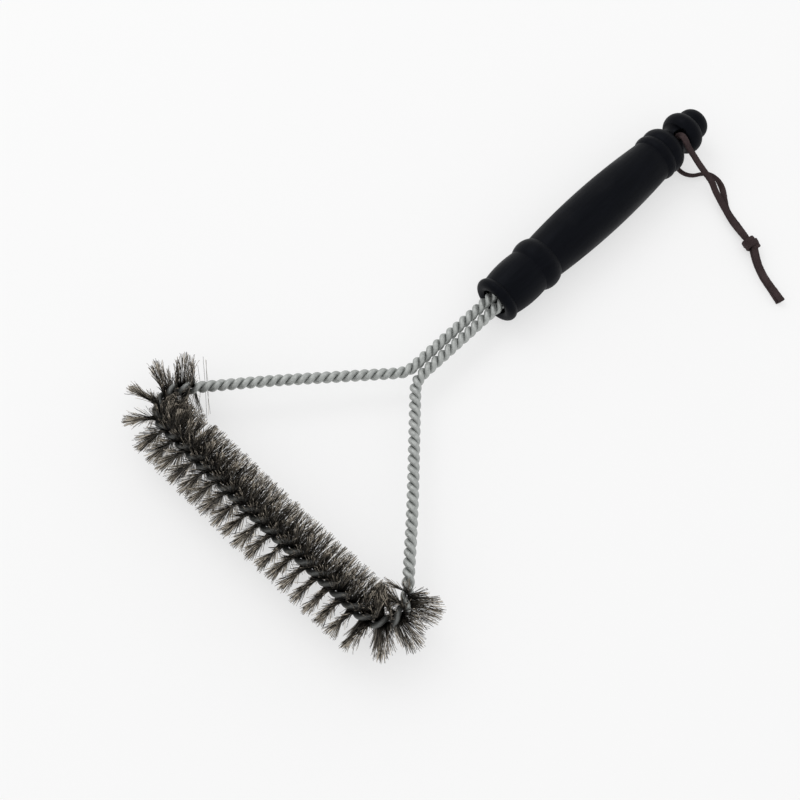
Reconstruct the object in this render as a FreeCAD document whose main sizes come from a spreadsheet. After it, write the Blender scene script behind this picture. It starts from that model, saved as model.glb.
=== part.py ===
import FreeCAD, Part
import math
import os

import Sketcher
from FreeCAD import Placement, Rotation, Vector

# Three-sided grill brush: two steel wires twisted round each other and bent into a triangle, steel
# bristles gripped by the twist along the far side, a turned wooden handle and a leather lace.
#
# Frame: +X along the handle from the bristles to the knob, +Z up, the table is z = 0, and the origin
# is under the middle of the brush. Millimetres.

SIZES = [
    # alias, value, what it is
    ("front_x", 7.9, "front of the handle, along X"),
    ("axis_y", 3.3, "the handle's axis, along Y"),
    ("axis_z", 13.2, "height of the handle's axis"),
    ("handle_length", 149.5, "front of the lip to the end of the knob"),
    ("bore_radius", 5.9, "blind bore for the wire legs"),
    ("bore_end", 48.0, "depth of the blind bore"),
    ("mouth_radius", 6.9, "counterbore in the front of the handle"),
    ("mouth_depth", 12.0, "depth of the counterbore"),
    ("lip_x", 1.1, "mouth edge of the rounded lip"),
    ("lip_curve", 2.9, "radius of the lip's section"),
    ("lip_groove_x", 5.3, "groove behind the lip"),
    ("lip_groove_radius", 10.87, "groove behind the lip"),
    ("barrel_curve", 55.0, "long section of the barrel"),
    ("barrel_end_x", 24.8, "end of the barrel"),
    ("barrel_end_radius", 11.65, "end of the barrel"),
    ("ring_curve", 9.25, "section of the ring bead"),
    ("ring_end_x", 35.3, "groove behind the ring bead"),
    ("ring_end_radius", 11.45, "groove behind the ring bead"),
    ("grip_curve", 395.0, "long section of the grip"),
    ("grip_end_x", 112.9, "end of the grip"),
    ("grip_end_radius", 11.1, "end of the grip"),
    ("fillet_curve", 4.4, "section of the small ring behind the grip"),
    ("fillet_end_x", 118.4, "groove before the rear bead"),
    ("fillet_end_radius", 11.3, "groove before the rear bead"),
    ("rear_curve", 5.9, "section of the rear bead"),
    ("rear_end_x", 126.7, "end of the rear bead"),
    ("rear_end_radius", 8.68, "end of the rear bead"),
    ("neck_curve", 2.9, "hollow section of the neck"),
    ("neck_end_x", 132.3, "end of the neck"),
    ("neck_end_radius", 9.1, "end of the neck"),
    ("ball_curve", 5.6, "section of the ball"),
    ("ball_end_x", 141.5, "groove behind the ball"),
    ("ball_end_radius", 7.92, "groove behind the ball"),
    ("cap_x", 141.9, "start of the end cap"),
    ("cap_radius", 8.0, "start of the end cap"),
    ("cap_round_x", 144.0, "where the end cap starts to round off"),
    ("cap_round_radius", 8.15, "where the end cap starts to round off"),
    ("cap_curve", 5.6, "rounding of the end cap"),
    ("end_radius", 2.7, "flat at the end of the cap"),
    ("lace_hole_x", 130.0, "cross hole for the lace, from the front of the handle"),
    ("lace_hole_radius", 2.8, "cross hole for the lace"),
    ("lace_hole_tilt", 15.0, "degrees by which the cross hole leans towards -Y"),
    ("wire_radius", 1.36, "one wire"),
    ("twist_radius", 1.41, "middle of a wire from the middle of the pair"),
    ("bristled_twist_radius", 1.66, "the same, where bristles hold the wires apart"),
    ("twist_pitch", 8.7, "one full turn of the bare pair"),
    ("bristled_pitch", 13.9, "one full turn of the bristled pair"),
    ("twist_blend", 6.0, "length over which one twist changes to the other"),
    ("twist_phase", 45.0, "degrees by which the pair is turned at the middle of the bar"),
    ("leg_spacing", 5.6, "between the two legs' middles"),
    ("leg_depth", 44.0, "how far the legs run into the handle"),
    ("neck_to_front", 53.7, "neck bend to the front of the handle"),
    ("bar_to_neck", 94.7, "bristled bar to the neck bend"),
    ("half_width", 85.6, "half the width between the corners of the triangle"),
    ("triangle_turn", 1.98, "degrees by which the triangle is bent aside at its neck"),
    ("bar_height", 17.0, "middle of the bristled bar above the table"),
    ("bow", 1.1, "how far the middle point of each side stands outwards"),
    ("side_bend", 900.0, "radius of the gentle bend half way along a side"),
    ("neck_bend", 13.0, "radius of the neck bends"),
    ("corner_bend", 11.0, "radius of the corner bends"),
    ("bristle_reach", 16.3, "bristle tip from the middle of the bar"),
    ("bundle_width", 0.42, "bristle bundle, along the bar"),
    ("bundle_thickness", 0.46, "bristle bundle, between the wires"),
    ("core_width", 0.36, "layer of bristles where the wires grip it"),
    ("plug_clearance", 0.12, "between the wire legs and the adhesive, round them"),
    ("plug_end_gap", 1.4, "between the slanted ends of the wires and the adhesive"),
    ("lace_radius", 1.5, "leather lace"),
    ("knot_radius", 3.9, "the lace's knot"),
]
ROWS = 26  # half turns of the bristled pair, each holding one spiral row of bristles
BUNDLES = 12  # bristle bundles in a row
POINTS_PER_TURN = 16  # on a wire's spline
TURNS_PER_SPAN = 2

# The lace, from the middle of the cross hole. The upper strand leaves the top of the hole and the
# lower strand its bottom, and both end in the knot. The tails start in the knot.
LACE = {
    "lace_upper": [
        (137.9, 3.3, 13.2),
        (137.7, 2.3, 17.2),
        (137.9, 1.2, 21.0),
        (136.9, -0.9, 23.8),
        (135.9, -4.7, 23.8),
        (135.7, -9.0, 20.0),
        (136.2, -12.9, 15.0),
        (136.6, -17.4, 11.2),
        (136.1, -24.0, 8.2),
        (133.4, -31.8, 6.1),
        (130.6, -39.6, 5.0),
        (128.2, -45.7, 4.8),
        (126.5, -51.7, 4.8),
        (125.3, -57.4, 5.1),
    ],
    "lace_lower": [
        (137.9, 3.3, 13.2),
        (138.1, 4.3, 9.4),
        (137.9, 5.0, 5.6),
        (137.3, 3.0, 2.4),
        (135.6, -0.8, 1.7),
        (134.2, -5.0, 1.7),
        (134.0, -9.6, 1.7),
        (136.4, -13.6, 1.7),
        (140.4, -15.6, 1.7),
        (143.4, -18.8, 1.7),
        (143.6, -23.4, 1.7),
        (141.2, -28.8, 1.7),
        (136.9, -33.4, 1.7),
        (132.9, -38.2, 1.7),
        (131.2, -44.0, 1.7),
        (129.7, -49.2, 1.7),
        (128.0, -54.0, 1.8),
        (126.2, -58.0, 2.1),
    ],
    "lace_tail_a": [
        (123.9, -61.6, 2.6),
        (121.6, -65.0, 1.8),
        (119.2, -68.9, 1.6),
        (116.0, -74.8, 1.6),
        (113.6, -82.0, 1.6),
        (111.0, -88.9, 1.6),
    ],
    "lace_tail_b": [
        (124.2, -62.0, 5.7),
        (121.6, -65.6, 5.0),
        (118.9, -69.6, 4.75),
        (115.8, -75.6, 4.7),
        (113.6, -82.6, 4.7),
        (111.6, -89.6, 4.7),
    ],
}
KNOT_CENTRE = Vector(125.0, -59.5, 4.0)

doc = FreeCAD.newDocument("grill_brush")
sheet = doc.addObject("Spreadsheet::Sheet", "Sizes")
for line, (alias, value, meaning) in enumerate(SIZES, start=1):
    sheet.set(f"A{line}", meaning)
    sheet.set(f"B{line}", str(value))
    sheet.setAlias(f"B{line}", alias)
doc.recompute()


def size(alias):
    return float(sheet.get(alias))


def bind(thing, **properties):
    """Drives each property by an expression on the sheet."""
    for name, expression in properties.items():
        thing.setExpression(name, expression)


# ---- Routes of straight runs and tangent arcs


def rounded_wire(points, radii):
    """A wire through the points, with an arc of its own radius at each inner point."""
    edges = []
    start = points[0]
    for before, corner, after, radius in zip(points, points[1:], points[2:], radii):
        back = (before - corner).normalize()
        ahead = (after - corner).normalize()
        half_turn = (math.pi - back.getAngle(ahead)) / 2
        tangent = radius * math.tan(half_turn)
        middle = (back + ahead).normalize() * (radius / math.cos(half_turn) - radius)
        arc = Part.Arc(corner + back * tangent, corner + middle, corner + ahead * tangent)
        edges.append(Part.LineSegment(start, corner + back * tangent).toShape())
        edges.append(arc.toShape())
        start = corner + ahead * tangent
    edges.append(Part.LineSegment(start, points[-1]).toShape())
    return Part.Wire(edges)


def cord_radii(points):
    """The largest arcs that a cord's runs allow: 0.45 of the shorter run on each side."""
    radii = []
    for before, corner, after in zip(points, points[1:], points[2:]):
        shorter = min((corner - before).Length, (after - corner).Length)
        turn = (corner - before).getAngle(after - corner)
        radii.append(0.45 * shorter / math.tan(turn / 2))
    return radii


def sweep(label, spine_wire, radius_alias):
    """A round tube of the given radius along the wire."""
    spine = doc.addObject("Part::Feature", label + "_spine")
    spine.Shape = spine_wire
    first = spine_wire.OrderedEdges[0]
    start = first.valueAt(first.FirstParameter)
    heading = first.tangentAt(first.FirstParameter)
    section = doc.addObject("Part::Circle", label + "_section")
    bind(section, Radius=f"Sizes.{radius_alias}")
    section.Placement = Placement(start, Rotation(Vector(0, 0, 1), heading))
    tube = doc.addObject("Part::Sweep", label)
    tube.Sections = [section]
    tube.Spine = (spine, [f"Edge{n + 1}" for n in range(len(spine_wire.Edges))])
    tube.Solid = True
    tube.Frenet = False
    return tube


# ---- Handle


def handle_point(depth, aside=0.0):
    """A point at the height of the handle's axis, by depth from its front and distance aside."""
    return Vector(size("front_x") + depth, size("axis_y") + aside, size("axis_z"))


def make_handle():
    """The turned handle: one revolved outline with the bore in it, then the lace's cross hole."""
    body = doc.addObject("PartDesign::Body", "handle")
    planes = {feature.Role: feature for feature in body.Origin.OriginFeatures}
    outline = body.newObject("Sketcher::SketchObject", "handle_outline")
    outline.AttachmentSupport = [(planes["XZ_Plane"], "")]
    outline.MapMode = "FlatFace"

    # Each step goes to a point (x alias, radius alias), by a line or by an arc of a named radius. The
    # arc bulges out, hollows in, or turns round by more than half a circle.
    steps = [
        ("bore_end", "bore_radius", None, "line"),
        ("mouth_depth", "bore_radius", None, "line"),
        ("mouth_depth", "mouth_radius", None, "line"),
        ("lip_x", "mouth_radius", None, "line"),
        ("lip_groove_x", "lip_groove_radius", "lip_curve", "round"),
        ("barrel_end_x", "barrel_end_radius", "barrel_curve", "out"),
        ("ring_end_x", "ring_end_radius", "ring_curve", "out"),
        ("grip_end_x", "grip_end_radius", "grip_curve", "out"),
        ("fillet_end_x", "fillet_end_radius", "fillet_curve", "out"),
        ("rear_end_x", "rear_end_radius", "rear_curve", "out"),
        ("neck_end_x", "neck_end_radius", "neck_curve", "in"),
        ("ball_end_x", "ball_end_radius", "ball_curve", "out"),
        ("cap_x", "cap_radius", None, "line"),
        ("cap_round_x", "cap_round_radius", None, "line"),
        ("handle_length", "end_radius", "cap_curve", "out"),
    ]
    here = Vector(size("bore_end"), 0, 0)
    corner_of = []  # for each outline piece: (its end that starts the step, its end that ends it)
    for x_alias, r_alias, curve_alias, way in steps:
        there = Vector(size(x_alias), size(r_alias), 0)
        if way == "line":
            outline.addGeometry(Part.LineSegment(here, there), False)
        else:
            outline.addGeometry(step_arc(here, there, size(curve_alias), way), False)
        corner_of.append((2, 1) if way in ("out", "round") else (1, 2))
        here = there
    flat_end = Vector(size("handle_length"), 0, 0)
    outline.addGeometry(Part.LineSegment(here, flat_end), False)
    outline.addGeometry(Part.LineSegment(flat_end, Vector(size("bore_end"), 0, 0)), False)
    corner_of += [(1, 2), (1, 2)]

    pieces = len(corner_of)
    for piece in range(pieces):
        after = (piece + 1) % pieces
        joint = (piece, corner_of[piece][1], after, corner_of[after][0])
        outline.addConstraint(Sketcher.Constraint("Coincident", *joint))
    for piece, (x_alias, r_alias, curve_alias, way) in enumerate(steps):
        end = corner_of[piece][1]
        dimension(outline, ("DistanceX", piece, end), x_alias)
        dimension(outline, ("DistanceY", piece, end), r_alias)
        if curve_alias:
            dimension(outline, ("Radius", piece), curve_alias)
    dimension(outline, ("DistanceX", pieces - 1, 1), "handle_length")
    dimension(outline, ("DistanceX", pieces - 1, 2), "bore_end")
    for end in (1, 2):
        outline.addConstraint(Sketcher.Constraint("PointOnObject", pieces - 1, end, -1))

    turning = body.newObject("PartDesign::Revolution", "handle_turning")
    turning.Profile = outline
    turning.ReferenceAxis = (outline, ["H_Axis"])
    turning.Angle = 360

    hole = body.newObject("Sketcher::SketchObject", "lace_hole_outline")
    hole.AttachmentSupport = [(planes["XY_Plane"], "")]
    hole.MapMode = "FlatFace"
    hole.AttachmentOffset = Placement(Vector(), Rotation(Vector(1, 0, 0), size("lace_hole_tilt")))
    centre = Vector(size("lace_hole_x"), 0, 0)
    circle = Part.Circle(centre, Vector(0, 0, 1), size("lace_hole_radius"))
    hole.addGeometry(circle, False)
    hole.addConstraint(Sketcher.Constraint("PointOnObject", 0, 3, -1))
    dimension(hole, ("DistanceX", 0, 3), "lace_hole_x")
    dimension(hole, ("Radius", 0), "lace_hole_radius")
    drilling = body.newObject("PartDesign::Pocket", "lace_hole")
    drilling.Profile = hole
    drilling.Type = 1
    drilling.Midplane = True
    body.Tip = drilling
    body.Placement = Placement(handle_point(0), Rotation())
    return body


def step_arc(start, end, radius, way):
    """The arc between two outline points, which bulges out, hollows in or turns round a lip."""
    chord = end - start
    across = Vector(-chord.y, chord.x, 0).normalize()
    offset = math.sqrt(radius**2 - (chord.Length / 2) ** 2)
    centre = (start + end) / 2 + across * (-offset if way == "out" else offset)
    angles = [math.atan2(p.y - centre.y, p.x - centre.x) for p in (end, start)]
    if way == "in":
        angles.reverse()
    if angles[1] < angles[0]:
        angles[1] += 2 * math.pi
    return Part.ArcOfCircle(Part.Circle(centre, Vector(0, 0, 1), radius), *angles)


def dimension(outline, what, alias):
    """Adds one sketch dimension and binds it to the sheet."""
    number = outline.addConstraint(Sketcher.Constraint(*what, size(alias)))
    outline.setExpression(f"Constraints[{number}]", f"Sizes.{alias}")


# ---- Twisted wire


def frame_route():
    """The middle line of the twisted pair: leg, arm, bar, arm and leg, with rounded bends."""
    middle_of_neck = handle_point(-size("neck_to_front"))
    leg_y = size("leg_spacing") / 2
    rise = Vector(0, 0, size("bar_height") - size("axis_z"))
    turn = Rotation(Vector(0, 0, 1), size("triangle_turn"))

    def side(hand):
        """From the leg's end to the corner on one hand, +1 or -1 along Y."""
        leg_end = handle_point(size("leg_depth"), hand * leg_y)
        neck = middle_of_neck + Vector(0, hand * leg_y, 0)
        out_to_corner = Vector(-size("bar_to_neck"), hand * size("half_width"), 0)
        corner = middle_of_neck + turn.multVec(out_to_corner) + rise
        along = corner - neck
        outward = Vector(along.y, -along.x, 0).normalize() * hand
        return [leg_end, neck, (neck + corner) / 2 + outward * size("bow"), corner]

    bar_middle = turn.multVec(Vector(-size("bar_to_neck") - size("bow"), 0, 0))
    points = side(1) + [middle_of_neck + bar_middle + rise] + side(-1)[::-1]
    bends = [size("neck_bend"), size("side_bend"), size("corner_bend")]
    return rounded_wire(points, bends + [size("side_bend")] + bends[::-1])


class Twist:
    """The twisted pair along the frame's route, by distance from the middle of the bar."""

    def __init__(self, wire):
        self.edges = wire.OrderedEdges
        self.starts = [0.0]
        for edge in self.edges:
            self.starts.append(self.starts[-1] + edge.Length)
        self.half_length = self.starts[-1] / 2
        self.bristled = ROWS * size("bristled_pitch") / 4
        self.blend = size("twist_blend")

    def section(self, distance):
        """Point, heading, outward and upward directions of the pair's section."""
        along = min(max(distance + self.half_length, 0.0), self.starts[-1] - 1e-6)
        number = max(n for n, start in enumerate(self.starts[:-1]) if start <= along)
        edge = self.edges[number]
        parameter = edge.getParameterByLength(along - self.starts[number])
        heading = edge.tangentAt(parameter).normalize()
        upward = (Vector(0, 0, 1) - heading * heading.z).normalize()
        return edge.valueAt(parameter), heading, heading.cross(upward), upward

    def angle(self, distance):
        """Left-handed twist angle: even in the bristled part, tighter beyond it."""
        slow = 2 * math.pi / size("bristled_pitch")
        fast = 2 * math.pi / size("twist_pitch")
        past = max(abs(distance) - self.bristled, 0.0)
        blended = min(past, self.blend)
        turned = slow * (abs(distance) - past + blended)
        turned += (fast - slow) * blended**2 / (2 * self.blend) + fast * (past - blended)
        return math.radians(size("twist_phase")) + math.copysign(turned, distance)

    def radius(self, distance):
        """From the middle of the pair to the middle of a wire."""
        past = min(max(abs(distance) - self.bristled, 0.0) / self.blend, 1.0)
        wide, narrow = size("bristled_twist_radius"), size("twist_radius")
        return wide + (narrow - wide) * past * past * (3 - 2 * past)

    def direction(self, distance, offset):
        """Across the pair at the twist angle plus an offset."""
        point, heading, outward, upward = self.section(distance)
        angle = self.angle(distance) + offset
        return outward * math.cos(angle) + upward * math.sin(angle)

    def wire_point(self, distance, offset):
        """A point on the middle line of one of the two wires."""
        point = self.section(distance)[0]
        return point + self.direction(distance, offset) * self.radius(distance)

    def wire_slope(self, distance, offset):
        """How fast that point moves along the pair."""
        small = 0.01
        ahead = self.wire_point(distance + small, offset)
        return (ahead - self.wire_point(distance - small, offset)) / (2 * small)


def make_wire(label, twist, offset):
    """One wire of the pair, from one leg's end to the other, as a chain of smooth spans."""
    turns = (twist.angle(twist.half_length) - twist.angle(-twist.half_length)) / (2 * math.pi)
    spans = round(turns / TURNS_PER_SPAN)
    step = 2 * twist.half_length / (spans * TURNS_PER_SPAN * POINTS_PER_TURN)
    edges = []
    for span in range(spans):
        first = span * TURNS_PER_SPAN * POINTS_PER_TURN
        count = TURNS_PER_SPAN * POINTS_PER_TURN + 1
        places = [(first + n) * step - twist.half_length for n in range(count)]
        curve = Part.BSplineCurve()
        curve.interpolate(
            Points=[twist.wire_point(place, offset) for place in places],
            Parameters=places,
            InitialTangent=twist.wire_slope(places[0], offset),
            FinalTangent=twist.wire_slope(places[-1], offset),
            Scale=False,
        )
        edges.append(curve.toShape())
    return sweep(label, Part.Wire(edges), "wire_radius")


# ---- Bristles


def place_box(label, twist, distance, lengths):
    """A box centred on the bar's middle line: X across the wires' gap, Y along the bar."""
    box = doc.addObject("Part::Box", label)
    bind(box, Length=lengths[0], Width=lengths[1], Height=lengths[2])
    doc.recompute([box])
    point, heading, outward, upward = twist.section(distance)
    across = twist.direction(distance, math.pi / 2)
    third = across.cross(heading)
    half = [getattr(box, side).Value / 2 for side in ("Length", "Width", "Height")]
    corner = point - across * half[0] - heading * half[1] - third * half[2]
    box.Placement = Placement(corner, Rotation(across, heading, third, "XYZ"))
    return box


def make_bristle_row(number, twist):
    """One half turn of bristles: bundles that cross the bar between the wires, joined at its core."""
    label = f"bristle_row_{number + 1:02d}"
    spacing = size("bristled_pitch") / 2 / BUNDLES
    first = -twist.bristled + number * size("bristled_pitch") / 2 + spacing / 2
    parts = []
    for bundle in range(BUNDLES):
        place = first + bundle * spacing
        bristles = ("2 * Sizes.bristle_reach", "Sizes.bundle_width", "Sizes.bundle_thickness")
        parts.append(place_box(f"{label}_bundle", twist, place, bristles))
        if bundle > 0:
            reach = f"Sizes.bristled_pitch / 2 / {BUNDLES} - Sizes.bundle_width / 2"
            core = ("Sizes.core_width", reach, "Sizes.core_width")
            parts.append(place_box(f"{label}_core", twist, place - spacing / 2, core))
    row = doc.addObject("Part::MultiFuse", label)
    row.Shapes = parts
    return row


# ---- Adhesive in the bore


def make_adhesive():
    """The plug that fills the bore round the two wire legs."""
    plug = doc.addObject("Part::Cylinder", "plug_blank")
    bind(plug, Radius="Sizes.bore_radius", Height="Sizes.bore_end - Sizes.mouth_depth")
    turn = Rotation(Vector(0, 1, 0), 90)
    plug.Placement = Placement(handle_point(size("mouth_depth")), turn)
    reach = "Sizes.leg_depth - Sizes.mouth_depth + Sizes.plug_end_gap"
    wide = "Sizes.twist_radius + Sizes.wire_radius + Sizes.plug_clearance"
    legs = []
    for side in (1, -1):
        leg = doc.addObject("Part::Cylinder", "leg_room")
        bind(leg, Radius=wide, Height=reach)
        aside = side * size("leg_spacing") / 2
        leg.Placement = Placement(handle_point(size("mouth_depth"), aside), turn)
        legs.append(leg)
    room = doc.addObject("Part::MultiFuse", "leg_rooms")
    room.Shapes = legs
    adhesive = doc.addObject("Part::Cut", "wire_adhesive")
    adhesive.Base = plug
    adhesive.Tool = room
    return adhesive


# ---- Lace


def make_lace():
    """The lace's two strands, its two tails and the knot that they pass into."""
    tubes = []
    for label, route in LACE.items():
        points = [Vector(*point) for point in route]
        radii = cord_radii(points)
        wire = rounded_wire(points, radii)
        print(label, "radii", [round(r, 1) for r in radii], "length", round(wire.Length, 1))
        tubes.append(sweep(label, wire, "lace_radius"))
    blank = doc.addObject("Part::Sphere", "knot_blank")
    bind(blank, Radius="Sizes.knot_radius")
    blank.Placement = Placement(KNOT_CENTRE, Rotation())
    room = doc.addObject("Part::MultiFuse", "knot_room")
    room.Shapes = tubes
    knot = doc.addObject("Part::Cut", "lace_knot")
    knot.Base = blank
    knot.Tool = room
    return tubes + [knot]


twist = Twist(frame_route())
nodes = [make_handle(), make_adhesive()]
nodes.append(make_wire("wire_strand_a", twist, 0.0))
nodes.append(make_wire("wire_strand_b", twist, math.pi))
nodes += [make_bristle_row(number, twist) for number in range(ROWS)]
nodes += make_lace()
doc.recompute()

for thing in doc.Objects:
    if any(state in ("Invalid", "Error") for state in thing.State):
        raise SystemExit(f"{thing.Label}: {thing.State}")
os.makedirs("parts", exist_ok=True)
for node in nodes:
    node.Label = node.Name
    shape = node.Shape
    if shape.isNull() or not shape.isValid() or not shape.Solids:
        raise SystemExit(f"{node.Label}: bad shape")
    shape.exportStep(f"parts/{node.Label}.step")
    print(f"{node.Label}: {len(shape.Solids)} solid, {shape.Volume:.1f} mm3, {shape.BoundBox}")
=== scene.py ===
import math
import random

import bpy
from mathutils import Matrix, Vector


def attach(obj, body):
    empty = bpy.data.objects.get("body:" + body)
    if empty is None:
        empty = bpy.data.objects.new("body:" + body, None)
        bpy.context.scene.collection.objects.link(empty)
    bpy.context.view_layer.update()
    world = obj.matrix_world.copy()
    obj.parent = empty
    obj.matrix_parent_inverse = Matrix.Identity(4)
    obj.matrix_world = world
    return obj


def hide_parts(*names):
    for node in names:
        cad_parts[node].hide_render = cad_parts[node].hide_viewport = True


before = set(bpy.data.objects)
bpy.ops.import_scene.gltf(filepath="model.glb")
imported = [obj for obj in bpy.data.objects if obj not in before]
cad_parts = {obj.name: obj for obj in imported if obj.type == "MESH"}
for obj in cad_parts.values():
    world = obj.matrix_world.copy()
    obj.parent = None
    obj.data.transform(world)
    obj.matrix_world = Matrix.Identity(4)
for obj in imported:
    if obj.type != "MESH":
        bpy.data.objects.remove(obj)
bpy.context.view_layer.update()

# The grill brush: bristles, lace, materials, table, light and camera round the CAD frame.
# Sizes are in millimetres where MM turns them into metres.

MM = 0.001

# The twisted pair's route, as the CAD frame has it.
FRONT = Vector((7.9, 3.3, 13.2))
LEG_SPACING, NECK_TO_FRONT, BAR_TO_NECK, HALF_WIDTH = 5.6, 53.7, 94.7, 85.6
BAR_Z, TRIANGLE_TURN = 17.0, math.radians(1.98)
BOW, CORNER_BEND, GENTLE_BEND = 1.1, 11.0, 900.0
BRISTLED_PITCH, ROWS, REACH = 13.9, 26, 17.2
REACH_SHARE = "reach_share"  # how far out a point of a filament lies, on the bristles' meshes
BRISTLED_HALF, TWIST_PHASE = ROWS * BRISTLED_PITCH / 4, math.radians(45)
LACE_HOLE = Vector((137.9, 3.3, 13.2))
# The wires darken between these two places: painted shade and reflection of the dark bristles, partly soot.
BARE_FROM, SHADED_AND_SOOTY_TO = -122.0, -132.0  # along X, where the wires go in among the bristles

# The lace's route: the CAD model's, drawn in a little to the flat strip's own shape.
LACE = {
    "lace_upper": [
        (137.9, 3.3, 13.2),
        (137.8, 2.4, 16.8),
        (137.9, 1.3, 20.0),
        (137.4, -0.9, 22.0),
        (136.7, -3.6, 21.0),
        (136.2, -6.6, 18.6),
        (136.7, -9.7, 16.0),
        (137.0, -12.2, 13.5),
        (137.3, -17.1, 10.0),
        (137.1, -24.0, 7.0),
        (135.5, -27.6, 5.0),
        (133.6, -32.9, 3.8),
        (131.3, -39.0, 3.0),
        (129.0, -44.5, 2.8),
        (127.3, -50.3, 2.9),
        (125.6, -57.0, 3.6),
    ],
    "lace_lower": [
        (137.9, 3.3, 13.2),
        (138.1, 4.3, 9.4),
        (137.9, 5.0, 5.6),
        (137.3, 3.0, 2.6),
        (135.6, -0.8, 1.8),
        (134.2, -5.0, 1.8),
        (134.0, -9.6, 1.8),
        (136.4, -13.6, 1.8),
        (140.4, -15.6, 1.8),
        (143.4, -18.8, 1.8),
        (143.6, -23.4, 1.8),
        (141.2, -28.8, 1.8),
        (136.9, -33.4, 1.8),
        (132.9, -38.2, 1.3),
        (131.2, -44.0, 1.0),
        (129.7, -49.2, 1.0),
        (128.0, -54.0, 1.3),
        (126.2, -58.0, 2.1),
    ],
    "lace_tail_a": [
        (123.9, -61.6, 2.6),
        (121.6, -65.0, 1.4),
        (119.2, -68.9, 1.0),
        (116.0, -74.8, 1.0),
        (113.6, -82.0, 1.0),
        (111.0, -88.9, 1.0),
    ],
    "lace_tail_b": [
        (124.2, -62.0, 4.8),
        (121.6, -65.6, 3.6),
        (118.9, -69.6, 2.8),
        (115.8, -75.6, 2.8),
        (113.6, -82.6, 2.8),
        (111.6, -89.6, 2.8),
    ],
}
KNOT_CENTRE = Vector((125.0, -59.5, 3.8))
KNOT_AXIS = Vector((-0.346, -0.938, 0))
KNOT_WRAP, KNOT_TURNS, KNOT_LENGTH, KNOT_SEED = 2.75, 2.3, 4.4, 7
KNOT_STEPS = 80
KNOT_SPACING, STRIP_SPACING = 0.3, 0.5  # between a strip's sections
LACE_WIDTH, LACE_THICKNESS = 3.0, 1.7
LACE_EDGE = Vector((-0.27, -0.293, 0.917))  # where the standing strand's upper edge looks

# Camera: the direction from the middle of the picture to the camera, and how far.
AZIMUTH, ELEVATION, ROLL = math.radians(-42.7), math.radians(66.5), math.radians(-1.8)
DISTANCE, LOOK_AT, FOCAL_SHARE = 560.0, Vector((-56.7, -0.4, 10.0)), 2.1868
SENSOR, PICTURE_WIDTH = 36.0, 800

# Table, world and key light. The light's place is in metres: right, away from the camera, up.
TABLE_HALF, TABLE_TONE, TABLE_GLOW = 3.0, 0.33, 0.6
WORLD_STRENGTH = 0.93
KEY_PLACE, KEY_SIZE, KEY_POWER = (-0.55, 0.75, 1.25), 0.8, 4.0


# ---- Camera, table and light


def camera_axes():
    """Unit vectors from the picture to the camera, to the picture's right and to its top."""
    back = Vector(
        (
            math.sin(AZIMUTH) * math.cos(ELEVATION),
            -math.cos(AZIMUTH) * math.cos(ELEVATION),
            math.sin(ELEVATION),
        )
    )
    level_right = Vector((0, 0, 1)).cross(back).normalized()
    level_up = back.cross(level_right)
    right = level_right * math.cos(ROLL) + level_up * math.sin(ROLL)
    return back, right, back.cross(right)


def add_camera():
    back, right, up = camera_axes()
    data = bpy.data.cameras.new("camera")
    data.sensor_width = SENSOR
    data.lens = SENSOR * DISTANCE * FOCAL_SHARE / PICTURE_WIDTH
    data.clip_start = 0.01
    camera = bpy.data.objects.new("camera", data)
    bpy.context.collection.objects.link(camera)
    place = (LOOK_AT + back * DISTANCE) * MM
    rows = [[right[i], up[i], back[i], place[i]] for i in range(3)]
    camera.matrix_world = Matrix([*rows, [0, 0, 0, 1]])
    bpy.context.scene.camera = camera


def add_table():
    half = TABLE_HALF
    mesh = bpy.data.meshes.new("table")
    corners = [(-half, -half, 0), (half, -half, 0), (half, half, 0), (-half, half, 0)]
    mesh.from_pydata(corners, [], [(0, 1, 2, 3)])
    table = bpy.data.objects.new("table", mesh)
    bpy.context.collection.objects.link(table)
    paper = Paint("white_table")
    paper.shader.inputs["Base Color"].default_value = (TABLE_TONE, TABLE_TONE, TABLE_TONE, 1)
    paper.shader.inputs["Emission Color"].default_value = (1, 1, 1, 1)
    paper.shader.inputs["Emission Strength"].default_value = TABLE_GLOW
    paper.shader.inputs["Roughness"].default_value = 0.9
    paper.shader.inputs["Specular IOR Level"].default_value = 0.1
    mesh.materials.append(paper.material)


def add_light(name, place, size, power):
    """A square soft light at a place given in metres along the camera's right, the level direction
    away from it, and up, and aimed at the middle of the brush."""
    back, right, _ = camera_axes()
    away = Vector((-back.x, -back.y, 0)).normalized()
    sideways = Vector((right.x, right.y, 0)).normalized()
    position = sideways * place[0] + away * place[1] + Vector((0, 0, place[2]))
    data = bpy.data.lights.new(name, "AREA")
    data.shape = "SQUARE"
    data.size = size
    data.energy = power
    light = bpy.data.objects.new(name, data)
    bpy.context.collection.objects.link(light)
    light.location = position
    light.rotation_euler = (-position).to_track_quat("-Z", "Y").to_euler()


def light_scene():
    world = bpy.data.worlds.new("studio")
    bpy.context.scene.world = world
    world.use_nodes = True
    world.node_tree.nodes["Background"].inputs["Color"].default_value = (1, 1, 1, 1)
    world.node_tree.nodes["Background"].inputs["Strength"].default_value = WORLD_STRENGTH
    add_light("key", KEY_PLACE, KEY_SIZE, KEY_POWER)
    bpy.context.scene.view_settings.view_transform = "Standard"


# ---- Materials


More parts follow.
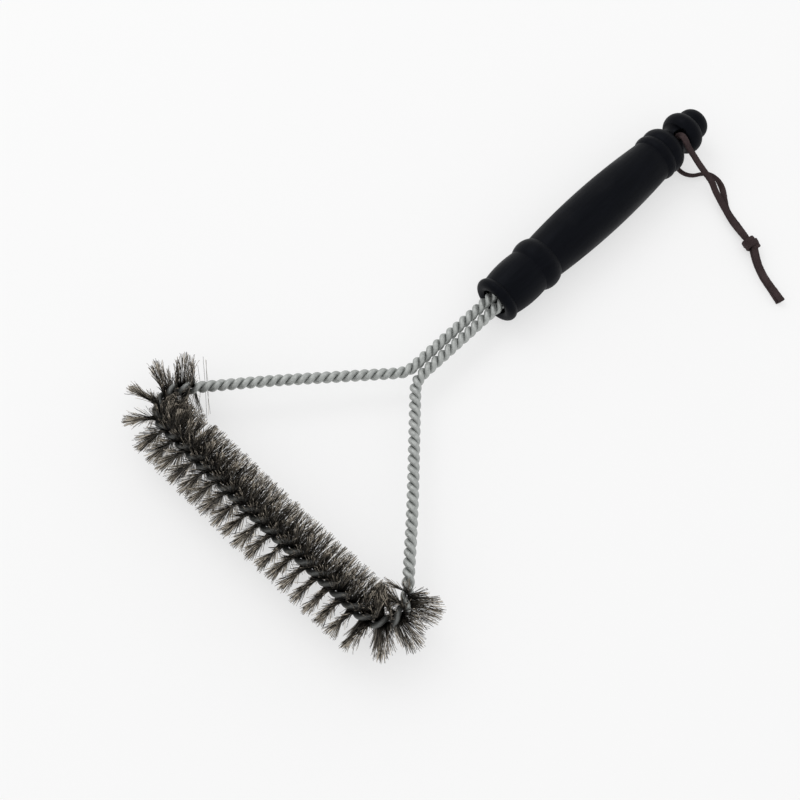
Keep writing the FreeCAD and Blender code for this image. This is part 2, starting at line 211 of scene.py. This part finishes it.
class Paint:
    """A material with one Principled shader and a few ways to drive it by procedural textures."""

    def __init__(self, name):
        self.material = bpy.data.materials.new(name)
        self.material.use_nodes = True
        self.tree = self.material.node_tree
        self.shader = self.tree.nodes["Principled BSDF"]
        self.place = self.add("ShaderNodeTexCoord").outputs["Object"]

    def add(self, kind, **settings):
        node = self.tree.nodes.new(kind)
        for name, value in settings.items():
            setattr(node, name, value)
        return node

    def link(self, output, socket):
        self.tree.links.new(output, socket)

    def noise(self, scale, detail=4.0, stretch=(1, 1, 1), roughness=0.55):
        """A noise of the given number of cells in a metre, with its place scaled per axis."""
        mapping = self.add("ShaderNodeMapping")
        mapping.inputs["Scale"].default_value = stretch
        self.link(self.place, mapping.inputs["Vector"])
        noise = self.add("ShaderNodeTexNoise")
        noise.inputs["Scale"].default_value = scale
        noise.inputs["Detail"].default_value = detail
        noise.inputs["Roughness"].default_value = roughness
        self.link(mapping.outputs["Vector"], noise.inputs["Vector"])
        return noise.outputs["Fac"]

    def ramp(self, factor, stops):
        """Colours by factor: stops are (position, (r, g, b))."""
        ramp = self.add("ShaderNodeValToRGB")
        elements = ramp.color_ramp.elements
        while len(elements) < len(stops):
            elements.new(0.5)
        for element, (position, colour) in zip(elements, stops):
            element.position = position
            element.color = (*colour, 1)
        self.link(factor, ramp.inputs["Fac"])
        return ramp.outputs["Color"]

    def span(self, factor, low, high, new_low, new_high):
        """A factor moved from one range to another."""
        span = self.add("ShaderNodeMapRange")
        for name, value in zip(("From Min", "From Max", "To Min", "To Max"), (low, high, new_low, new_high)):
            span.inputs[name].default_value = value
        self.link(factor, span.inputs["Value"])
        return span.outputs["Result"]

    def mix(self, factor, first, second):
        mix = self.add("ShaderNodeMix", data_type="RGBA")
        for output, socket in ((factor, mix.inputs[0]), (first, mix.inputs[6]), (second, mix.inputs[7])):
            if isinstance(output, (tuple, float)):
                socket.default_value = output
            else:
                self.link(output, socket)
        return mix.outputs[2]

    def bump(self, height, distance, strength=1.0, under=None):
        bump = self.add("ShaderNodeBump")
        bump.inputs["Distance"].default_value = distance
        bump.inputs["Strength"].default_value = strength
        self.link(height, bump.inputs["Height"])
        if under:
            self.link(under, bump.inputs["Normal"])
        return bump.outputs["Normal"]

    def drive(self, **sockets):
        for name, output in sockets.items():
            self.link(output, self.shader.inputs[name.replace("_", " ")])


def black_wood():
    """Satin black paint on turned wood: turning lines, faint grain and slightly rubbed patches."""
    paint = Paint("black_wood")
    grain = paint.noise(420, 6, (0.12, 1, 1), 0.6)
    patches = paint.noise(55, 3)
    rings = paint.noise(900, 2, (1, 0.04, 0.04))
    colour = paint.ramp(grain, [(0.3, (0.0009, 0.0011, 0.0019)), (0.7, (0.0022, 0.0026, 0.004))])
    rubbed = paint.span(patches, 0.58, 0.78, 0.0, 0.3)
    paint.drive(Base_Color=paint.mix(rubbed, colour, (0.012, 0.012, 0.013, 1)))
    paint.drive(Roughness=paint.span(patches, 0.3, 0.7, 0.4, 0.56))
    fine = paint.bump(grain, 0.00025, 0.5)
    paint.drive(Normal=paint.bump(rings, 0.00012, 0.4, fine))
    paint.shader.inputs["Specular IOR Level"].default_value = 0.075
    # Painted reflection colour: the handle's reflections are tinted bluish, a cool cast of the light.
    paint.shader.inputs["Specular Tint"].default_value = (0.78, 0.84, 1.0, 1)
    return paint.material


def zinc_wire():
    """Satin zinc plating on drawn wire, mottled, with darker scuffs, and darker among the bristles: painted
    shade and reflection of the dark bristles, partly soot.
    """
    paint = Paint("zinc_wire")
    mottle = paint.noise(700, 5)
    scuffs = paint.noise(2400, 3, (1, 1, 1), 0.7)
    colour = paint.ramp(mottle, [(0.3, (0.33, 0.345, 0.335)), (0.7, (0.5, 0.515, 0.5))])
    dark = paint.span(scuffs, 0.58, 0.8, 0.0, 0.55)
    scuffed = paint.mix(dark, colour, (0.15, 0.15, 0.145, 1))
    along = paint.add("ShaderNodeSeparateXYZ")
    paint.link(paint.place, along.inputs["Vector"])
    # Painted shade and reflection of the dark bristles, partly soot: the wires go darker along X where they
    # enter the bristles.
    shade_and_soot = paint.span(along.outputs["X"], BARE_FROM * MM, SHADED_AND_SOOTY_TO * MM, 0.0, 0.72)
    paint.drive(Base_Color=paint.mix(shade_and_soot, scuffed, (0.03, 0.029, 0.027, 1)))
    paint.drive(Roughness=paint.span(mottle, 0.3, 0.7, 0.46, 0.6))
    paint.drive(Normal=paint.bump(scuffs, 0.00008, 0.6))
    paint.shader.inputs["Metallic"].default_value = 0.7
    return paint.material


def bristle_steel():
    """Dark drawn steel: each filament has its own tone, and all darken towards the wires with painted shade.
    """
    paint = Paint("bristle_steel")
    own = paint.add("ShaderNodeNewGeometry").outputs["Random Per Island"]
    stops = [
        (0.0, (0.006, 0.005, 0.004)),
        (0.25, (0.035, 0.031, 0.026)),
        (0.5, (0.12, 0.107, 0.09)),
        (0.75, (0.3, 0.27, 0.225)),
        (1.0, (0.75, 0.67, 0.56)),
    ]
    reach = paint.add("ShaderNodeAttribute", attribute_name=REACH_SHARE).outputs["Fac"]
    # Painted shade: filaments go near-black close to the wires, where they crowd together.
    core_shade = paint.span(reach, 0.12, 0.75, 0.0, 1.0)
    paint.drive(Base_Color=paint.mix(core_shade, (0.006, 0.005, 0.004, 1), paint.ramp(own, stops)))
    paint.shader.inputs["Metallic"].default_value = 0.85
    paint.shader.inputs["Roughness"].default_value = 0.4
    return paint.material


def suede():
    """Dark brown suede: fine nap, worn paler patches."""
    paint = Paint("leather")
    nap = paint.noise(2600, 5, (1, 1, 1), 0.7)
    patches = paint.noise(160, 3)
    colour = paint.ramp(nap, [(0.3, (0.014, 0.009, 0.009)), (0.72, (0.056, 0.037, 0.038))])
    worn = paint.span(patches, 0.45, 0.7, 0.0, 0.4)
    paint.drive(Base_Color=paint.mix(worn, colour, (0.075, 0.052, 0.052, 1)))
    paint.drive(Normal=paint.bump(nap, 0.0003, 0.8))
    paint.shader.inputs["Roughness"].default_value = 0.88
    paint.shader.inputs["Specular IOR Level"].default_value = 0.15
    return paint.material


def epoxy():
    """Cured resin, cloudy amber."""
    paint = Paint("adhesive")
    clouds = paint.noise(240, 3)
    paint.drive(Base_Color=paint.ramp(clouds, [(0.3, (0.3, 0.22, 0.1)), (0.7, (0.45, 0.36, 0.2))]))
    paint.shader.inputs["Roughness"].default_value = 0.35
    return paint.material


def paint_node(node, material):
    """Gives a CAD node its material."""
    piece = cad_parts[node]
    if isinstance(piece, str):
        piece = bpy.data.objects[piece]
    if not piece.material_slots:
        piece.data.materials.append(material)
    for slot in piece.material_slots:
        slot.material = material


# ---- The twisted pair's route


def rounded_route(points, radii):
    """Straight runs and tangent arcs through the points, as (length, start, heading, turn) pieces.
    turn is None on a run, or (centre, radius) on an arc."""
    pieces = []
    start = points[0]
    for before, corner, after, radius in zip(points, points[1:], points[2:], radii):
        back, ahead = (before - corner).normalized(), (after - corner).normalized()
        half_turn = (math.pi - back.angle(ahead)) / 2
        leaves = corner + back * radius * math.tan(half_turn)
        pieces.append(((leaves - start).length, start, -back, None))
        inward = (ahead + back).normalized()
        centre = corner + inward * radius / math.cos(half_turn)
        pieces.append((2 * half_turn * radius, leaves, -back, (centre, radius)))
        start = corner + ahead * radius * math.tan(half_turn)
    pieces.append(((points[-1] - start).length, start, (points[-1] - start).normalized(), None))
    return pieces


class Pair:
    """The twisted pair's middle line, by distance from the middle of the bristled bar."""

    def __init__(self):
        middle_of_neck = FRONT - Vector((NECK_TO_FRONT, 0, 0))
        turn = Matrix.Rotation(TRIANGLE_TURN, 3, "Z")
        rise = Vector((0, 0, BAR_Z - FRONT.z))
        sides = []
        for hand in (1, -1):
            neck = middle_of_neck + Vector((0, hand * LEG_SPACING / 2, 0))
            corner = middle_of_neck + turn @ Vector((-BAR_TO_NECK, hand * HALF_WIDTH, 0)) + rise
            along = corner - neck
            outward = Vector((along.y, -along.x, 0)).normalized() * hand
            sides.append([neck, (neck + corner) / 2 + outward * BOW, corner])
        bar_middle = middle_of_neck + turn @ Vector((-BAR_TO_NECK - BOW, 0, 0)) + rise
        bends = [GENTLE_BEND, CORNER_BEND, GENTLE_BEND, CORNER_BEND, GENTLE_BEND]
        self.pieces = rounded_route(sides[0] + [bar_middle] + sides[1][::-1], bends)
        self.half_length = sum(piece[0] for piece in self.pieces) / 2

    def section(self, distance):
        """Point, heading, outward and upward directions of the pair's section."""
        left = distance + self.half_length
        for length, start, heading, turn in self.pieces:
            if left <= length:
                break
            left -= length
        if turn is None:
            point = start + heading * left
        else:
            centre, radius = turn
            angle = left / radius
            inward = (centre - start).normalized()
            point = centre - inward * radius * math.cos(angle) + heading * radius * math.sin(angle)
            heading = heading * math.cos(angle) + inward * math.sin(angle)
        upward = (Vector((0, 0, 1)) - heading * heading.z).normalized()
        return point, heading, heading.cross(upward), upward


# ---- Bristles

FILAMENTS = 190  # in one half turn
FILAMENT_RADIUS = 0.1
EARLY_START = 0.39  # share of a half turn by which the first row starts before the even twist
FILAMENT_SIDES = 4
ARM_STEPS = 5  # lengths between the core and each tip
CLUMPS = 6  # in one half turn, on each side
CLAMPED = 2.6  # how far from the core the wires hold a filament straight
FLOOR_GAP = 0.25
STRAYS = [
    # distance beyond the first row, tilt, lean, length
    (7.3, 0.1, 0.02, 15.0),
    (8.0, 0.25, -0.04, 12.5),
    (8.6, 0.0, 0.05, 14.0),
    (5.2, -0.2, 0.1, 13.0),
]
STRAY_DROP = 0.6  # how far a stray's tip hangs
ROW_SEED = 100
SHORTEST = 0.86  # of the bristles, as a share of REACH
END_LEAN = -0.1  # lean along the bar at its middle, doubled at the end that is bent back first


def row_lean(distance):
    """How far bristles lean along the bar: most towards the end that is bent back first."""
    return END_LEAN * (1 - distance / BRISTLED_HALF)


def twist_ray(pair, distance, turned, side, lean):
    """From the bar's middle line, across it at the twist's angle plus a turn, leaning along it. Only
    the bristles outside the triangle take the row's lean too."""
    point, heading, outward, upward = pair.section(distance)
    angle = 2 * math.pi * distance / BRISTLED_PITCH + TWIST_PHASE + math.pi / 2 + turned
    across = (outward * math.cos(angle) + upward * math.sin(angle)) * side
    lean += row_lean(distance) * max(0.0, across.dot(outward))
    return point, (across + heading * lean).normalized()


def clump_of(share, dice):
    """The middle of the clump that a filament's tip leans to, as a share of the half turn."""
    number = min(CLUMPS - 1, math.floor(share * CLUMPS))
    return (number + 0.5 + dice.uniform(-0.12, 0.12)) / CLUMPS


def curved_arm(point, own, tip, length):
    """Points from the core to the tip: straight between the wires, then a gentle curve."""
    bend = point + own * length * 0.5
    held = point + own * CLAMPED
    points = [point]
    for step in range(ARM_STEPS):
        t = step / (ARM_STEPS - 1)
        points.append(held * (1 - t) ** 2 + bend * 2 * t * (1 - t) + tip * t * t)
    return points


def filament_arm(pair, start, share, side, clump_leans, dice):
    """Points of one filament from the core to its tip on one side."""
    half_turn = BRISTLED_PITCH / 2
    middle = start + share * half_turn
    point, own = twist_ray(pair, middle, dice.gauss(0, 0.035), side, dice.gauss(0, 0.03))
    length = REACH * dice.uniform(SHORTEST, 1.0)
    lean = dice.gauss(0, 0.13)
    tip = point + twist_ray(pair, middle, dice.gauss(0, 0.1), side, lean)[1] * length
    clump = clump_of(share, dice)
    leans = clump_leans[max(0, min(CLUMPS - 1, int(share * CLUMPS)))]
    base, ray = twist_ray(pair, start + clump * half_turn, leans[1], side, leans[0])
    tip = tip.lerp(base + ray * length, dice.uniform(0.15, 0.55))
    tip.z = max(tip.z, FLOOR_GAP)
    return curved_arm(point, own, tip, length)


def tube_rings(points, radius, sides, mesh_points, mesh_faces):
    """Adds a closed thin tube along the points."""
    first = len(mesh_points)
    count = len(points)
    normal = None
    for n, point in enumerate(points):
        ahead = (points[min(n + 1, count - 1)] - points[max(n - 1, 0)]).normalized()
        if normal is None:
            normal = ahead.orthogonal().normalized()
        normal = (normal - ahead * normal.dot(ahead)).normalized()
        other = ahead.cross(normal)
        for side in range(sides):
            turn = 2 * math.pi * side / sides
            offset = normal * math.cos(turn) + other * math.sin(turn)
            mesh_points.append((point + offset * radius) * MM)
    for n in range(count - 1):
        for side in range(sides):
            after = (side + 1) % sides
            low, high = first + n * sides, first + (n + 1) * sides
            mesh_faces.append((low + side, low + after, high + after, high + side))
    mesh_faces.append(tuple(first + side for side in reversed(range(sides))))
    last = first + (count - 1) * sides
    mesh_faces.append(tuple(last + side for side in range(sides)))


def new_piece(name, points, faces, material):
    mesh = bpy.data.meshes.new(name)
    mesh.from_pydata(points, [], faces)
    mesh.polygons.foreach_set("use_smooth", [True] * len(mesh.polygons))
    mesh.materials.append(material)
    piece = bpy.data.objects.new(name, mesh)
    bpy.context.collection.objects.link(piece)
    return piece


def stray_lines(pair):
    """A few long filaments caught in the bare twist beyond the first row."""
    for past, tilt, lean, length in STRAYS:
        point, heading, outward, upward = pair.section(-BRISTLED_HALF - past)
        arms = []
        for side in (-1, 1):
            ray = (outward * side + upward * tilt * side + heading * lean).normalized()
            tip = point + ray * length + Vector((0, 0, -STRAY_DROP))
            arms.append(curved_arm(point, ray, tip, length))
        yield list(reversed(arms[0][1:])) + arms[1]


def reach_shares(line):
    """For each point of a filament's mesh, its distance from the core as a share of the reach."""
    core = line[len(line) // 2]
    return [(point - core).length / REACH for point in line for side in range(FILAMENT_SIDES)]


def make_bristles(material):
    pair = Pair()
    for row in range(ROWS):
        dice = random.Random(ROW_SEED + row)
        start = -BRISTLED_HALF + row * BRISTLED_PITCH / 2
        leans = {}
        for side in (-1, 1):
            leans[side] = [(dice.gauss(0, 0.1), dice.gauss(0, 0.06)) for clump in range(CLUMPS)]
        early = -EARLY_START if row == 0 else 0.0
        points, faces, reaches = [], [], []
        for filament in range(FILAMENTS):
            share = early + (1 - early) * (filament + dice.uniform(0.1, 0.9)) / FILAMENTS
            left = filament_arm(pair, start, share, -1, leans[-1], dice)
            right = filament_arm(pair, start, share, 1, leans[1], dice)
            line = list(reversed(left[1:])) + right
            tube_rings(line, FILAMENT_RADIUS, FILAMENT_SIDES, points, faces)
            reaches += reach_shares(line)
        if row == 0:
            for line in stray_lines(pair):
                tube_rings(line, FILAMENT_RADIUS, FILAMENT_SIDES, points, faces)
                reaches += reach_shares(line)
        node = f"bristle_row_{row + 1:02d}"
        piece = new_piece(f"bristles_{row + 1:02d}", points, faces, material)
        shares = piece.data.attributes.new(REACH_SHARE, "FLOAT", "POINT")
        shares.data.foreach_set("value", reaches)
        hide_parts(node)
        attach(piece, "root")


# ---- Lace


def route_points(route):
    """Points along the smooth line of a cord's route, in metres."""
    curve = bpy.data.curves.new("route", "CURVE")
    curve.dimensions = "3D"
    curve.resolution_u = 14
    spline = curve.splines.new("NURBS")
    spline.points.add(len(route) - 1)
    for point, place in zip(spline.points, route):
        point.co = (*[value * MM for value in place], 1)
    spline.order_u = 3
    spline.use_endpoint_u = True
    holder = bpy.data.objects.new("route", curve)
    mesh = bpy.data.meshes.new_from_object(holder)
    line = [vertex.co.copy() for vertex in mesh.vertices]
    bpy.data.meshes.remove(mesh)
    bpy.data.objects.remove(holder)
    bpy.data.curves.remove(curve)
    return line


def evenly(line, spacing):
    """The line with its points evenly spaced."""
    lengths = [0.0]
    for here, there in zip(line, line[1:]):
        lengths.append(lengths[-1] + (there - here).length)
    count = max(2, round(lengths[-1] / spacing))
    points = []
    n = 0
    for step in range(count + 1):
        place = lengths[-1] * step / count
        while n < len(lengths) - 2 and lengths[n + 1] < place:
            n += 1
        share = (place - lengths[n]) / (lengths[n + 1] - lengths[n])
        points.append(line[n].lerp(line[n + 1], share))
    return points


def flat_section(width, thickness):
    """A rounded oblong of points (across, up), anticlockwise."""
    round_off = 0.28 * thickness
    corners = [(1, -1), (1, 1), (-1, 1), (-1, -1)]
    points = []
    for number, (x, y) in enumerate(corners):
        centre = (x * (width / 2 - round_off), y * (thickness / 2 - round_off))
        for step in range(3):
            turn = math.pi / 2 * (number - 1 + step / 2)
            points.append((centre[0] + round_off * math.cos(turn), centre[1] + round_off * math.sin(turn)))
    return points


def lace_mesh(line, facing, seed):
    """A flat suede strip along the line. facing(place, ahead, share) is where its flat side looks."""
    dice = random.Random(seed)
    points, faces = [], []
    section = flat_section(LACE_WIDTH * MM, LACE_THICKNESS * MM)
    sides, count = len(section), len(line)
    for n, point in enumerate(line):
        ahead = (line[min(n + 1, count - 1)] - line[max(n - 1, 0)]).normalized()
        up = facing(point, ahead, n / (count - 1))
        up = (up - ahead * up.dot(ahead)).normalized()
        across = ahead.cross(up)
        swell = 1 + dice.uniform(-0.04, 0.04)
        for x, y in section:
            rough = 1 + dice.uniform(-0.02, 0.02)
            points.append(point + across * x * swell * rough + up * y * rough)
    for n in range(count - 1):
        low, high = n * sides, (n + 1) * sides
        for side in range(sides):
            after = (side + 1) % sides
            faces.append((low + side, low + after, high + after, high + side))
    faces.append(tuple(reversed(range(sides))))
    faces.append(tuple((count - 1) * sides + side for side in range(sides)))
    return points, faces


def line_length(line):
    return sum((there - here).length for here, there in zip(line, line[1:]))


def knot_line():
    """The knot's wraps round the strands: a short helix whose ends turn in to its middle."""
    sideways = Vector((-KNOT_AXIS.y, KNOT_AXIS.x, 0)).normalized()
    count = KNOT_STEPS
    points = []
    for step in range(count + 1):
        share = step / count
        turn = 2 * math.pi * KNOT_TURNS * share
        tuck = min(1.0, 0.35 + 7 * min(share, 1 - share))
        wobble = 1 + 0.07 * math.sin(2.3 * turn)
        spoke = (sideways * math.cos(turn) + Vector((0, 0, 1)) * math.sin(turn)) * KNOT_WRAP
        slant = 0.5 * math.sin(turn)
        along = KNOT_AXIS * ((share - 0.5) * KNOT_LENGTH + slant)
        points.append((KNOT_CENTRE + spoke * tuck * wobble + along) * MM)
    return points


def make_lace(material):
    centre = KNOT_CENTRE * MM

    def outwards(place, ahead, share):
        from_middle = place - centre
        return from_middle - KNOT_AXIS * from_middle.dot(KNOT_AXIS)

    points, faces = lace_mesh(evenly(knot_line(), KNOT_SPACING * MM), outwards, KNOT_SEED)
    knot = new_piece("knot", points, faces, material)
    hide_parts("lace_knot")
    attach(knot, "root")

    exits = {
        "lace_upper": (LACE_HOLE + Vector((0, -1.9, 7.1))) * MM,
        "lace_lower": (LACE_HOLE + Vector((0, 1.9, -7.1))) * MM,
        "lace_tail_a": Vector(LACE["lace_tail_a"][0]) * MM,
        "lace_tail_b": Vector(LACE["lace_tail_b"][0]) * MM,
    }
    for seed, (node, route) in enumerate(LACE.items()):
        line = evenly(route_points(route), STRIP_SPACING * MM)
        points, faces = lace_mesh(line, FACINGS[node], seed)
        piece = new_piece(node + "_strip", points, faces, material)
        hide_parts(node)
        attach(piece, "root")
        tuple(exits[node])
        line_length(line)
        "bare" if "tail" in node else "knot"


def face_up(place, ahead, share):
    return Vector((0, 0, 1))


def upper_facing(place, ahead, share):
    """The upper strand's flat side looks along the handle in the hole, and up outside it."""
    in_hole = max(0.0, 1 - share / 0.2)
    return Vector((-1, 0, 0)) * in_hole + Vector((0, 0, 1)) * (1 - in_hole)


def lower_facing(place, ahead, share):
    """The lower strand stands on its edge beside the handle and turns flat towards the knot."""
    flat = min(max((share - 0.5) / 0.2, 0.0), 1.0)
    return ahead.cross(LACE_EDGE) * (1 - flat) + Vector((0, 0, 1)) * flat


FACINGS = {
    "lace_upper": upper_facing,
    "lace_lower": lower_facing,
    "lace_tail_a": face_up,
    "lace_tail_b": face_up,
}

# ---- The scene

zinc, wood, steel, leather = zinc_wire(), black_wood(), bristle_steel(), suede()
paint_node("handle", wood)
paint_node("wire_adhesive", epoxy())
for strand in ("wire_strand_a", "wire_strand_b"):
    paint_node(strand, zinc)
make_lace(leather)
make_bristles(steel)
add_table()
light_scene()
add_camera()
